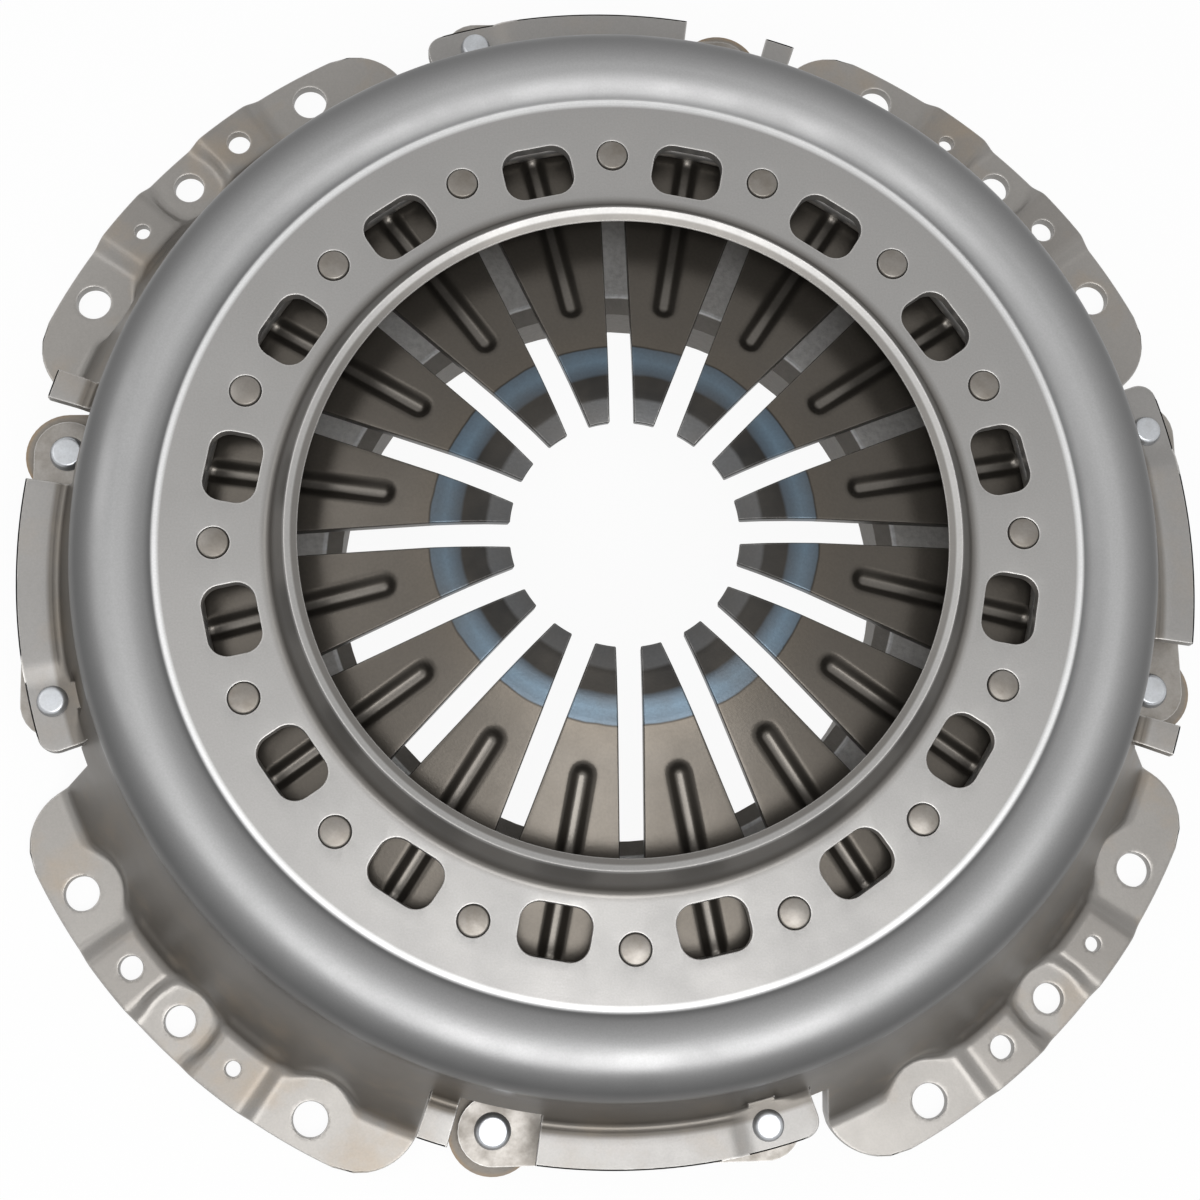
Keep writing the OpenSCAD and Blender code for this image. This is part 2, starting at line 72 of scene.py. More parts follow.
class Finish:
    """Wires shader nodes, one line for each layer."""

    def __init__(self, name, metallic, roughness):
        self.name = name
        self.material = bpy.data.materials.new(name)
        self.material.use_nodes = True
        self.tree = self.material.node_tree
        self.skin = self.tree.nodes["Principled BSDF"]
        self.skin.inputs["Metallic"].default_value = metallic
        self.skin.inputs["Roughness"].default_value = roughness
        self.place = self.add("ShaderNodeTexCoord").outputs["Object"]
        self.apart = self.add("ShaderNodeSeparateXYZ")
        self.link(self.place, self.apart.inputs[0])
        self.height = self.apart.outputs["Z"]

    def add(self, kind, **settings):
        node = self.tree.nodes.new(kind)
        for key, value in settings.items():
            setattr(node, key, value)
        return node

    def link(self, source, target):
        if isinstance(source, bpy.types.NodeSocket):
            self.tree.links.new(source, target)
        else:
            target.default_value = source

    def math(self, work, a, b=0.0):
        node = self.add("ShaderNodeMath", operation=work)
        self.link(a, node.inputs[0])
        self.link(b, node.inputs[1])
        return node.outputs[0]

    def length(self, a, b):
        """Distance that two sides at a right angle reach."""
        return self.math("SQRT", self.math("ADD", self.math("MULTIPLY", a, a), self.math("MULTIPLY", b, b)))

    def noise(self, scale, detail=3.0, roughness=0.55):
        node = self.add("ShaderNodeTexNoise")
        node.inputs["Scale"].default_value = scale
        node.inputs["Detail"].default_value = detail
        node.inputs["Roughness"].default_value = roughness
        self.link(self.place, node.inputs["Vector"])
        return node.outputs["Fac"]

    def radius(self):
        """Distance from the clutch axis, in metres."""
        return self.length(self.apart.outputs["X"], self.apart.outputs["Y"])

    def span(self, value, low, high, to_low=0.0, to_high=1.0):
        """Maps low..high to to_low..to_high and stops there."""
        node = self.add("ShaderNodeMapRange", clamp=True)
        for name, number in (("From Min", low), ("From Max", high), ("To Min", to_low), ("To Max", to_high)):
            node.inputs[name].default_value = number
        self.link(value, node.inputs["Value"])
        return node.outputs["Result"]

    def blend(self, share, a, b):
        """a where the share is 0, b where it is 1."""
        node = self.add("ShaderNodeMix", data_type="RGBA")
        self.link(share, node.inputs["Factor"])
        for value, socket in ((a, node.inputs["A"]), (b, node.inputs["B"])):
            self.link(value if isinstance(value, bpy.types.NodeSocket) else (*value, 1), socket)
        return node.outputs["Result"]

    def rings(self, radius, stops):
        """Colours by distance from the axis. stops are (mm, colour), from the inside out."""
        first, last = stops[0][0], stops[-1][0]
        node = self.add("ShaderNodeValToRGB")
        while len(node.color_ramp.elements) < len(stops):
            node.color_ramp.elements.new(0.5)
        for element, (mm, colour) in zip(node.color_ramp.elements, stops):
            element.position = (mm - first) / (last - first)
            element.color = (*colour, 1)
        self.link(self.span(radius, first * MM, last * MM), node.inputs["Fac"])
        return node.outputs["Color"]

    def near_edge(self, distance):
        """1 at edges and 0 on open faces, from how much a rounded normal turns away from the real one."""
        rounded = self.add("ShaderNodeBevel", samples=6)
        rounded.inputs["Radius"].default_value = distance
        plain = self.add("ShaderNodeNewGeometry")
        dot = self.add("ShaderNodeVectorMath", operation="DOT_PRODUCT")
        self.link(rounded.outputs["Normal"], dot.inputs[0])
        self.link(plain.outputs["Normal"], dot.inputs[1])
        return self.span(dot.outputs["Value"], 0.98, 0.80)

    def colour(self, value):
        self.link(value, self.skin.inputs["Base Color"])

    def shine(self, value):
        self.link(value, self.skin.inputs["Roughness"])

    def bump(self, *layers):
        """layers are (height value, distance in metres, strength)."""
        below = None
        for height, distance, strength in layers:
            node = self.add("ShaderNodeBump")
            node.inputs["Distance"].default_value = distance
            node.inputs["Strength"].default_value = strength
            self.link(height, node.inputs["Height"])
            if below is not None:
                self.link(below, node.inputs["Normal"])
            below = node.outputs["Normal"]
        self.link(below, self.skin.inputs["Normal"])

    def keep(self):
        """Files the finish under its name, for the pieces that wear it."""
        FINISHES[self.name] = self.material
        print(f"{self.name}: {len(self.tree.nodes)} shader nodes")


def grey(value, warm=0.0):
    """A grey written as it looks, 0 to 1, with a little red added and blue taken away for warmth."""
    def linear(c):
        return c / 12.92 if c <= 0.04045 else ((c + 0.055) / 1.055) ** 2.4
    return linear(value + warm), linear(value), linear(max(0.0, value - 1.3 * warm))


print("a middle grey in linear light:", [round(c, 3) for c in grey(0.5)])

# %% [markdown]
# The cover was pressed from oiled sheet. Its flat ring is light grey, and bands of painted shade and painted
# highlight follow the lip and the bead. The skirt and the lugs keep a warm brown oil film with stains, made
# dark on the steep skirt as painted shade, and the flat tops of the lugs and pads are painted lighter as
# painted light. Every edge gets a painted highlight.

# %% Finish of the cover
f = Finish("cover_steel", 0.7, 0.36)
stain, cloud, grain = f.noise(11, 5, 0.6), f.noise(38, 4, 0.6), f.noise(1500, 2, 0.6)
r = f.radius()
# Painted shade and painted highlight by radius: dark at the lip's foot, a bright line at the foot of the
# bead's ramp with a dark band outside it, a lighter crown, and an outer bead side that darkens outwards.
top = f.rings(r, [(110.0, grey(0.62)), (117.6, grey(0.36, 0.015)), (119.6, grey(0.42, 0.012)),
                  (122.0, grey(0.57, 0.006)), (154.8, grey(0.56, 0.006)), (156.08, grey(0.82)),
                  (156.88, grey(0.82)), (157.84, grey(0.36)), (160.0, grey(0.50)), (166.0, grey(0.59)),
                  (169.6, grey(0.60)), (174.0, grey(0.53)), (178.8, grey(0.44)), (182.8, grey(0.33)),
                  (186.0, grey(0.33, 0.004))])
# Painted highlight on the lip's top rim and painted shade on the lip's walls above 85 mm.
rim = f.math("MULTIPLY", f.span(f.height, 0.0918, 0.0926), f.span(r, 0.1103, 0.1109))
lip = f.blend(rim, grey(0.42, 0.012), grey(0.62, 0.006))
top = f.blend(f.span(f.height, 0.0852, 0.0868), top, lip)
top = f.blend(f.span(cloud, 0.35, 0.65, 0, 0.14), top, grey(0.48))
# Warm brown oil film with stains below the bead; on the steep skirt its darkness is also painted shade.
film_and_painted_shading = f.blend(f.span(stain, 0.35, 0.68), grey(0.34, 0.020), grey(0.42, 0.014))
# Painted light: the flat lug tops near the flange and the tops of the strap pads are painted lighter.
film_and_painted_shading = f.blend(f.span(f.height, 0.0075, 0.0105, 0.5, 0), film_and_painted_shading, grey(0.64, 0.010))
pad_top_painted_light = f.math("MULTIPLY", f.span(f.height, 0.0335, 0.0350), f.span(r, 0.1975, 0.1990, 0, 0.6))
film_and_painted_shading = f.blend(pad_top_painted_light, film_and_painted_shading, grey(0.60, 0.004))
drips = f.math("MULTIPLY", f.span(stain, 0.2, 0.8, -1, 1), 0.006)
low = f.span(f.math("ADD", f.height, drips), 0.050, 0.066, 1, 0)
body = f.blend(low, top, film_and_painted_shading)
gold = f.math("MULTIPLY", f.span(cloud, 0.5, 0.72), f.span(f.height, 0.004, 0.045, 0.5, 0.2))
body = f.blend(f.math("MULTIPLY", gold, low), body, grey(0.52, 0.06))
# Painted highlight along every edge.
body = f.blend(f.math("MULTIPLY", f.near_edge(0.0012), 0.7), body, grey(0.88, 0.01))
f.colour(f.blend(f.span(grain, 0.3, 0.7, 0, 0.12), body, grey(0.3)))
f.shine(f.math("ADD", f.span(cloud, 0.3, 0.7, 0.32, 0.42), f.span(stain, 0.4, 0.7, 0.0, 0.08)))
f.bump((grain, 0.00004, 0.5), (cloud, 0.0003, 0.2))
f.keep()

# %% [markdown]
# The spring is hardened, shot-peened and then heated again at its fingertips, where the release bearing
# rubs. The heat leaves rings of temper colour: mid grey at the tips, near black, blue, and then the warm
# brown grey of the rest. A painted ring would be too even, so the rings' edges waver with a slow noise. The
# turns of the sixteen fingers are folded onto one, so that a single distance paints every groove: painted
# shade on its walls and a painted highlight on its floor. The edges get a painted highlight too.

# %% Finish of the diaphragm spring
FINGERS = 16
PITCH = 360 / FINGERS
GROOVE_FROM = 82.0

f = Finish("spring_steel", 0.8, 0.32)
stain, grain, r = f.noise(26, 4, 0.6), f.noise(1100, 2, 0.5), f.radius()
waver = f.math("MULTIPLY", f.span(f.noise(60, 2), 0.2, 0.8, -1, 1), 0.0006)
heat = f.rings(f.math("ADD", r, waver),
               [(36.0, grey(0.30, -0.003)), (45.8, grey(0.32, -0.003)), (47.0, grey(0.15, 0.003)),
                (54.4, grey(0.14, 0.005)), (55.4, (0.052, 0.068, 0.085)), (60.0, (0.092, 0.135, 0.175)),
                (64.6, (0.07, 0.096, 0.122)), (65.12, grey(0.13, 0.016)), (65.68, grey(0.31, 0.022)),
                (76.0, grey(0.30, 0.018))])
body = f.blend(f.span(stain, 0.35, 0.7, 0, 0.5), heat, grey(0.27, 0.018))
half_pitch = math.radians(PITCH / 2)
turn = f.math("ARCTAN2", f.apart.outputs["Y"], f.apart.outputs["X"])
off = f.math("WRAP", f.math("SUBTRACT", turn, half_pitch), half_pitch)
off.node.inputs[2].default_value = -half_pitch
aside = f.math("MULTIPLY", r, f.math("SINE", off))
ahead = f.math("SUBTRACT", GROOVE_FROM * MM, f.math("MULTIPLY", r, f.math("COSINE", off)))
ahead = f.math("MAXIMUM", ahead, 0.0)
from_groove = f.length(aside, ahead)
# Painted shade on the groove walls and a painted highlight on the groove floor.
groove_wall_shade = f.math("MULTIPLY", f.span(from_groove, 0.0012, 0.0019), f.span(from_groove, 0.0028, 0.0058, 1, 0))
body = f.blend(f.span(from_groove, 0.0010, 0.0016, 0.16, 0), body, grey(0.58, 0.012))
body = f.blend(f.math("MULTIPLY", groove_wall_shade, f.span(r, 0.146, 0.150, 0.5, 0)), body, grey(0.12, 0.010))
# Painted highlight along the edges.
body = f.blend(f.math("MULTIPLY", f.near_edge(0.0010), 0.5), body, grey(0.70, 0.01))
f.colour(f.blend(f.span(grain, 0.3, 0.7, 0, 0.14), body, grey(0.15)))
f.shine(f.span(stain, 0.3, 0.7, 0.28, 0.40))
f.bump((grain, 0.00005, 0.45))
f.keep()

# %% [markdown]
# The plate is cast iron: rough and a little rusty where it was left as cast, and finely turned on its
# friction face. The ledge that is seen through the slots lies in the spring's shade, so it is painted near
# white as painted light, with a painted highlight on the line of its chamfer and painted shade inside it.
# One rough material would do for a glimpse, but the turned face is what a buyer looks at from below, so its
# grooves are drawn as rings of a sine wave, 0.39 mm apart.

# %% Finish of the cast plate
f = Finish("plate_iron", 0.1, 0.5)
cast, stain = f.noise(420, 3, 0.6), f.noise(20, 4)
from_axis = f.radius()
turned = f.math("SINE", f.math("MULTIPLY", from_axis, 16000.0))
face = f.span(f.height, 0.0034, 0.0037, 1, 0)
# The ledge is painted near white as painted light, with painted shade inside 102.6 mm and a painted highlight
# on the chamfer line.
ledge = f.blend(f.span(stain, 0.35, 0.7), grey(0.93, 0.006), grey(0.84, 0.012))
ledge = f.blend(f.span(from_axis, 0.1026, 0.1032), grey(0.50, 0.02), ledge)
chamfer_highlight = f.math("MULTIPLY", f.span(from_axis, 0.1026, 0.1031), f.span(from_axis, 0.1040, 0.1046, 1, 0))
ledge = f.blend(chamfer_highlight, ledge, grey(0.99))
outside = f.blend(f.span(stain, 0.35, 0.7), grey(0.50, 0.03), grey(0.43, 0.015))
rust = f.math("MULTIPLY", f.near_edge(0.0035), f.span(f.noise(60, 3), 0.35, 0.6, 0.2, 0.8))
outside = f.blend(rust, outside, grey(0.50, 0.11))
skin_of_casting = f.blend(f.span(from_axis, 0.122, 0.150), ledge, outside)
f.colour(f.blend(face, f.blend(f.span(cast, 0.4, 0.7, 0, 0.25), skin_of_casting, grey(0.40, 0.02)),
                 f.blend(f.span(turned, -1, 1, 0, 0.3), grey(0.66), grey(0.52))))
f.shine(f.span(face, 0, 1, 0.55, 0.32))
f.bump((f.math("MULTIPLY", cast, f.math("SUBTRACT", 1.0, face)), 0.0005, 0.5),
       (f.math("MULTIPLY", turned, face), 0.00003, 0.6))
f.keep()

# %% [markdown]
# Rings, rivets and straps are small and share one recipe: a stain, a painted highlight along the edges and
# a fine grain. Only lightness, warmth and roughness differ, so a loop makes all four.

# %% Finishes of the rings, the rivets and the straps
for name, light, warm, rough in (("ring_steel", 0.55, 0.004, 0.3), ("rivet_steel", 0.48, 0.016, 0.36),
                                 ("rivet_zinc", 0.74, -0.012, 0.34), ("strap_steel", 0.54, 0.014, 0.40)):
    f = Finish(name, 0.8, rough)
    stain, grain = f.noise(140, 4, 0.6), f.noise(1300, 2)
    body = f.blend(f.span(stain, 0.35, 0.7), grey(light, warm), grey(light - 0.08, warm + 0.006))
    # Painted highlight along the edges.
    body = f.blend(f.math("MULTIPLY", f.near_edge(0.0008), 0.4), body, grey(0.85))
    f.colour(f.blend(f.span(grain, 0.3, 0.7, 0, 0.12), body, grey(0.25)))
    f.shine(f.span(stain, 0.3, 0.7, rough - 0.06, rough + 0.1))
    f.bump((stain, 0.0002, 0.3), (grain, 0.00004, 0.4))
    f.keep()

for row in frame["record"]["subparts"]:
    node = frame["nodes"][row["node"]]
    node.data.materials.clear()
    node.data.materials.append(FINISHES[row["material_slot"]])
print("finishes:", ", ".join(FINISHES))

# %% [markdown]
# ## Bent profiles
# Nearly every piece here starts as a section: a line of straight runs joined by bends. The line could be
# drawn by hand as a curve object, but then the bends' radii would be guesses. Instead a point walks along
# it: it runs straight, and at each corner it is spun about the bend's own centre, as a bending tool would
# do it.

# %% Walk a point along a bent section
def bent_section(path, degrees_per_step=7.0):
    """path holds (radius, height, bend radius) in mm. Gives a bmesh wire in the XZ plane."""
    bm = bmesh.new()
    here = bm.verts.new((path[0][0] * MM, 0, path[0][1] * MM))

    def run_to(spot):
        nonlocal here
        there = bm.verts.new(spot)
        bm.edges.new((here, there))
        here = there

    for before, corner, after in zip(path, path[1:], path[2:]):
        a, b, c = (Vector((p[0], 0, p[1])) * MM for p in (before, corner, after))
        into, out = (b - a).normalized(), (c - b).normalized()
        turn = into.angle(out)
        if corner[2] <= 0 or turn < 1e-4:
            run_to(b)
            continue
        side = 1 if into.cross(out).y > 0 else -1
        reach = corner[2] * MM * math.tan(turn / 2)
        run_to(b - into * reach)
        centre = here.co + Vector((0, side, 0)).cross(into) * corner[2] * MM
        bent = bmesh.ops.spin(bm, geom=[here], cent=centre, axis=(0, side, 0), angle=turn,
                              steps=max(2, round(math.degrees(turn) / degrees_per_step)))
        here = [g for g in bent["geom_last"] if isinstance(g, bmesh.types.BMVert)][0]
    run_to(Vector((path[-1][0], 0, path[-1][1])) * MM)
    return bm


def spin_on(bm, geometry, sections):
    """Spins a wire about the axis in several sections, each (degrees, steps)."""
    for degrees, steps in sections:
        spun = bmesh.ops.spin(bm, geom=geometry, cent=(0, 0, 0), axis=(0, 0, 1),
                              angle=math.radians(degrees), steps=steps)
        geometry = spun["geom_last"]


def turn_all(bm, degrees):
    turn = Matrix.Rotation(math.radians(degrees), 3, "Z")
    bmesh.ops.rotate(bm, verts=bm.verts, cent=(0, 0, 0), matrix=turn)


def smooth(x, low, high):
    t = min(1.0, max(0.0, (x - low) / (high - low)))
    return t * t * (3 - 2 * t)


def polar(v):
    """Radius in mm, angle in degrees and height in mm of a vertex."""
    return math.hypot(v.co.x, v.co.y) / MM, math.degrees(math.atan2(v.co.y, v.co.x)), v.co.z / MM


def put(v, radius, degrees, height):
    a = math.radians(degrees)
    v.co = Vector((radius * math.cos(a), radius * math.sin(a), height)) * MM


trial = bent_section([(10, 0, 0), (20, 0, 4), (20, 10, 0)])
print("a square bend is walked in", len(trial.edges), "edges")
trial.free()

# %% [markdown]
# No edge of pressed steel is perfectly sharp. A Bevel modifier could round them live, but a bevel made in
# the bmesh can be checked at once: the piece's open edges are counted after it. Smooth shading with
# weighted normals then keeps flat stretches flat, and edges that turn by more than an angle stay crisp.

# %% Finish a bmesh as a piece of the object
def as_piece(bm, name, body, slot, nodes, soften=None, flat_angle=40):
    """Rounds the sharp edges, shades the rest smooth, attaches the piece to its body and hides the CAD nodes
    it stands for.
    """
    if soften:
        sharp = [e for e in bm.edges if len(e.link_faces) == 2 and e.calc_face_angle(0) > math.radians(58)]
        bmesh.ops.bevel(bm, geom=sharp, offset=soften * MM, offset_type="OFFSET", segments=2, profile=0.5,
                        affect="EDGES", clamp_overlap=False, material=-1)
    for f in bm.faces:
        f.smooth = True
    for e in bm.edges:
        e.smooth = len(e.link_faces) == 2 and e.calc_face_angle(0) < math.radians(flat_angle)
    mesh = bpy.data.meshes.new(name)
    bm.to_mesh(mesh)
    mesh.materials.append(FINISHES[slot])
    loose = sum(1 for e in bm.edges if len(e.link_faces) != 2)
    bm.free()
    piece = bpy.data.objects.new(name, mesh)
    bpy.context.scene.collection.objects.link(piece)
    even = piece.modifiers.new("even shading", "WEIGHTED_NORMAL")
    even.keep_sharp = True
    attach(piece, body)
    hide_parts(*nodes)
    triangles = sum(len(p.vertices) - 2 for p in mesh.polygons)
    print(f"{name}: {triangles} triangles, {loose} open edges")
    return piece

# %% [markdown]
# ## The pressed cover
# The real cover is one sheet, 5 mm thick, drawn in a press: a turned-up lip, a flat ring with sixteen
# windows, a round shoulder bead and a flared skirt that ends in four bolt lugs, with four strap pads
# between them. Boolean cuts on a thick solid would leave hard, even edges. So the sheet is spun first as a
# thin skin, cut out, given its thickness, and only then are the seats pressed in by moving its points, as
# the press does.

# %% Sizes of the cover
SHEET, RING_Z, LIP_Z = 5.0, 80.0, 93.4
LIP_TOP_R, LIP_FOOT_R = 112.8, 118.8
WALL_R, KNEE_Z, FLARE = 186.0, 60.0, 0.44
BEAD_ROUND, BEAD_IN, CROWN_Z = 14.7, 20.0, 84.3
RAMP_FOOT, RAMP = 157.5, math.radians(34.6)
FLANGE_R, BOLT_R = 231.0, 220.0
SEAM_Z, PAD_Z, PAD_R, PAD_ROUND = 46.0, 41.0, 209.0, 6.0
GAP, NOTCH, PAD_END = 20.3, (-17.3, -9.0), 18.3
LUG_HALF, LUG_FLAT, LUG_ROUND = 45 - GAP, 18.7, 22.0
FLAT_IN, FLAT_OUT = 121.8, 146.0


def skirt_r(z):
    return WALL_R + FLARE * (KNEE_Z - z)


print("skirt at the flange", round(skirt_r(SHEET), 2))

# %% Spin the skin of the whole cover
top_of_cover = [(LIP_TOP_R, LIP_Z, 0), (LIP_FOOT_R, RING_Z, 3), (FLAT_IN, RING_Z, 0), (FLAT_OUT, RING_Z, 0),
                (RAMP_FOOT, RING_Z, 3), (RAMP_FOOT + (CROWN_Z - RING_Z) / math.tan(RAMP), CROWN_Z, BEAD_IN),
                (WALL_R, CROWN_Z, BEAD_ROUND), (WALL_R, KNEE_Z, 25)]
down_the_skirt = [(skirt_r(z), z, 0) for z in (SEAM_Z, 43.5, 41, 38.5, 36, 33.5, 31, 28.5, 26, 24, 22, 20, 18,
                                               16, 14.5, 13, 11.5, 10, 8.9)]
along_the_flange = [(FLANGE_R - LUG_ROUND + LUG_ROUND * math.cos(math.radians(a)), SHEET, 0)
                    for a in (72, 67, 62, 56.5, 51, 45, 38.5, 31, 19)]
skin = bent_section(top_of_cover + down_the_skirt + [(skirt_r(SHEET), SHEET, 4.9)] + along_the_flange +
                    [(FLANGE_R, SHEET, 0)])
pad_columns = [(NOTCH[0] + GAP, 3), (NOTCH[1] - NOTCH[0], 9), (PAD_END - NOTCH[1], 30), (GAP - PAD_END, 2)]
lug_columns = [(2 * LUG_HALF, 52)]
turn_all(skin, -GAP)
spin_on(skin, list(skin.verts) + list(skin.edges), (pad_columns + lug_columns) * 4)
bmesh.ops.remove_doubles(skin, verts=skin.verts, dist=1e-6)
print("skin faces", len(skin.faces))


# %% [markdown]
# The die first trims the skirt. Between two lugs the sheet is gone below a seam, and there a strap pad is
# bent out. The gaps could be cut with boxes, but then the edges would follow the boxes and not the sheet,
# so whole faces of the skin are deleted: their columns were placed on the gaps' edges when the skin was
# spun.

# %% Cut the gaps between the lugs
def pad_angle(v):
    """Angle from the middle of the nearest strap pad, which lie on the X and Y axes."""
    a = math.degrees(math.atan2(v.y, v.x))
    return a - 90 * round(a / 90)


def gone(face):
    c = face.calc_center_median()
    a, z = pad_angle(c), c.z / MM
    return (-GAP < a < PAD_END and z < SEAM_Z) or (PAD_END < a < GAP and z < 36)


bmesh.ops.delete(skin, geom=[f for f in skin.faces if gone(f)], context="FACES")
print("skin faces after the cut", len(skin.faces))

# %% [markdown]
# A pad leaves the skirt with a small bend and runs out level. It is spun from its own section, with the
# columns of the skirt above it, so that the two skins weld point on point.

# %% Turn out the strap pads
pad_rows = [(PAD_R - PAD_ROUND + PAD_ROUND * math.cos(math.radians(a)), PAD_Z, 0) for a in range(90, 0, -12)]
pad_section = [(skirt_r(SEAM_Z), SEAM_Z, 0), (skirt_r(PAD_Z), PAD_Z, 4), (199, PAD_Z, 0), (201, PAD_Z, 0)] + \
    pad_rows + [(PAD_R, PAD_Z, 0)]
for quarter in range(4):
    for start, columns in ((-GAP, pad_columns[:1]), (NOTCH[1], pad_columns[2:3])):
        pad = bent_section(pad_section)
        turn_all(pad, start + 90 * quarter)
        spin_on(pad, list(pad.verts) + list(pad.edges), columns)
        loose_mesh = bpy.data.meshes.new("pad")
        pad.to_mesh(loose_mesh)
        pad.free()
        skin.from_mesh(loose_mesh)
        bpy.data.meshes.remove(loose_mesh)
bmesh.ops.remove_doubles(skin, verts=skin.verts, dist=2e-6)
bmesh.ops.recalc_face_normals(skin, faces=skin.faces)
ring_face = min(skin.faces, key=lambda f: abs(f.calc_center_median().z - RING_Z * MM))
if ring_face.normal.z < 0:
    bmesh.ops.reverse_faces(skin, faces=skin.faces)
print("skin faces with pads", len(skin.faces))

# %% [markdown]
# Solidify gives the skin its 5 mm, measured square to the sheet, as rolled steel keeps it round a bend. The
# lugs get more points across first, because the seats pressed into them later are round.

# %% Refine the lugs, then give the sheet its thickness
across = []
for e in skin.edges:
    (ra, _, za), (rb, _, zb) = (polar(v) for v in e.verts)
    if abs(za - zb) < 1e-3 and abs(ra - rb) < 1e-3 and za < 29:
        across.append(e)
bmesh.ops.subdivide_edges(skin, edges=across, cuts=2, use_grid_fill=True)
bmesh.ops.solidify(skin, geom=list(skin.faces), thickness=SHEET * MM)
heights = [v.co.z / MM for v in skin.verts]
print("sheet from", round(min(heights), 2), "to", round(max(heights), 2), "mm")


# %% [markdown]
# Each lug has flat round seats under its bolts, and bridges between them that stand 3.5 mm high and stiffen
# it. The press moves the sheet without thinning it much, so the points of both faces move together, by
# smooth steps.

# %% Press the seats and bridges, and round the lug ends
BOLTS_AT, BRIDGE_HOLES_AT = 15.0, 6.6
BRIDGE_RISE, BRIDGE_SLOPES = 3.5, (2.3, 4.1, 9.0, 11.0)
PAD_RISE, PAD_RISE_FROM, PAD_RISE_TO = 1.3, 194, 198
BOLT_SEAT, MIDDLE_SEAT, STRAP_SEAT, WIDER_INSIDE = 14.6, 11.0, 10.2, 2.4
STRAP_X, STRAP_Y = 195.6, 46.5
STRAP_HOLE_R = math.hypot(STRAP_X, STRAP_Y)
STRAP_HOLE_ANGLE = math.degrees(math.atan2(STRAP_Y, STRAP_X))


def round_end(radius, outer, bend, corner):
    """Angle at which an end rounded with radius bend stops, at this distance from the axis."""
    base = outer - bend
    if radius <= base:
        return None
    c = (radius ** 2 + base ** 2 - bend ** 2) / (2 * radius * base)
    return corner + math.degrees(math.acos(min(1.0, c)))


def seat(x, y, z, at_r, at_degrees, level, radius, edge=4.0):
    """Lowers a point to a flat round seat, with a smooth slope round it."""
    a = math.radians(at_degrees)
    d = math.hypot(x - at_r * math.cos(a), y - at_r * math.sin(a))
    return level + (z - level) * smooth(d, radius, radius + edge) if z > level else z


def on_outer_face(r, z, level):
    """True for a point of the sheet's outer or upper face, with level the sheet's middle on the flat."""
    return z > level and r > skirt_r(z) - 0.54 * SHEET


def shape_lug(v, turn):
    r, a, z = polar(v)
    a = (a - turn + 180) % 360 - 180
    outside = on_outer_face(r, z, SHEET / 2)
    up_from, up_to, down_from, down_to = BRIDGE_SLOPES
    end = round_end(r, FLANGE_R, LUG_ROUND, LUG_FLAT)
    if end is not None and abs(a) > down_to:
        a = math.copysign(down_to + (abs(a) - down_to) * (end - down_to) / (LUG_HALF - down_to), a)
    level = SHEET if outside else 0
    raise_by = BRIDGE_RISE * smooth(abs(a), up_from, up_to) * (1 - smooth(abs(a), down_from, down_to))
    z += raise_by * (1 - smooth(z, level + 2, level + 13))
    x, y = r * math.cos(math.radians(a)), r * math.sin(math.radians(a))
    wider = 0 if outside else WIDER_INSIDE
    for side in (-BOLTS_AT, BOLTS_AT):
        z = seat(x, y, z, BOLT_R, side, level, BOLT_SEAT + wider)
    z = seat(x, y, z, BOLT_R, 0, level, MIDDLE_SEAT + wider)
    put(v, r, a + turn, z)


def shape_pad(v, turn):
    r, a, z = polar(v)
    a = (a - turn + 180) % 360 - 180
    outside = on_outer_face(r, z, PAD_Z - SHEET / 2)
    end = round_end(r, PAD_R, PAD_ROUND, PAD_END - 1.7)
    if end is not None and a > 14:
        a = 14 + (a - 14) * (end - 14) / (PAD_END - 14)
    level = PAD_Z if outside else PAD_Z - SHEET
    x, y = r * math.cos(math.radians(a)), r * math.sin(math.radians(a))
    z += PAD_RISE * smooth(r, PAD_RISE_FROM, PAD_RISE_TO) * (1 - smooth(a, 9.9, 10.7))
    wider = 0 if outside else WIDER_INSIDE
    z = seat(x, y, z, STRAP_HOLE_R, STRAP_HOLE_ANGLE, level, STRAP_SEAT + wider, 1.5)
    put(v, r, a + turn, z)


for v in skin.verts:
    r, a, z = polar(v)
    if z < 34.5 and r > 190:
        turn = 45 + 90 * round((a - 45) / 90)
        shape_lug(v, turn)
    elif z < SEAM_Z + 6 and r > 184:
        turn = 90 * round(a / 90)
        if -GAP - 0.01 < a - turn < PAD_END + 0.01:
            shape_pad(v, turn)
    v.co.z = max(0.0, v.co.z)
print("lowest point after pressing", round(min(v.co.z for v in skin.verts) / MM, 3), "mm")


# %% [markdown]
# Holes are punched last, so that pressing can't pull them out of round. A Boolean could cut them, but on a
# sheet with so many faces it is slow and may leave cracks. Here the flat faces round a hole go, the hole's
# rim is drawn as a loop, the ring between rim and gap is filled on both faces of the sheet, and the two
# rims are bridged.

# %% Punch the holes
def loop_at(bm, level, make):
    """Makes a closed wire loop at a height, and returns its edges."""
    before = set(bm.edges)
    make(bm, level)
    return [e for e in bm.edges if e not in before]


